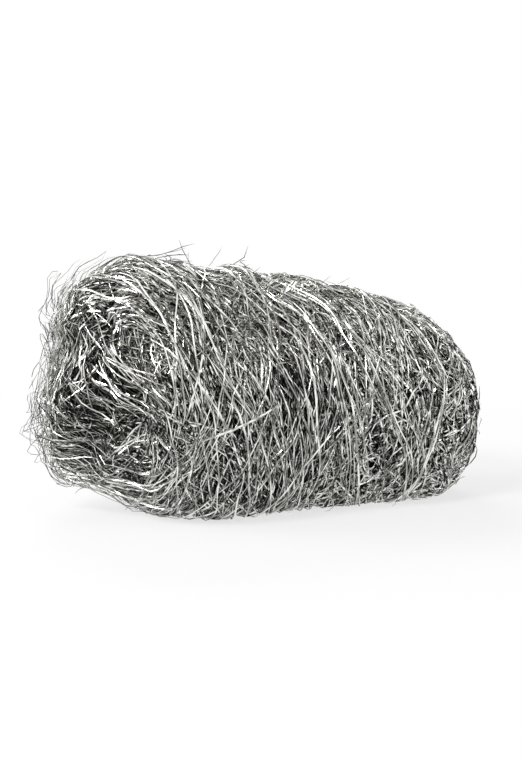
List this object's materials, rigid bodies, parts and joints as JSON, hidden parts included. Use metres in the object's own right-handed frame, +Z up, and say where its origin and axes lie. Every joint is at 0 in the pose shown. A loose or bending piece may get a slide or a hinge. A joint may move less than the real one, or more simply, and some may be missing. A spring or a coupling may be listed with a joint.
{
  "type": "steel wool pad",
  "caption": "Rolled pad of extra coarse steel wool lying on its side, flattened where it rests, with spiral turns showing at both ends.",
  "frame": {"origin": "on the resting plane, under the middle of the pad's outline", "axes": "+X along the roll's axis towards its slimmer end, +Z up from the flat spot that it lies on"},
  "size_m": [0.1092, 0.0658, 0.0592],
  "materials": {
    "steel_wool": "bare shaved low-carbon steel strands, bright edges over dark gaps"
  },
  "bodies": {
    "root": {"wool_roll": "steel_wool"}
  },
  "joints": []
}
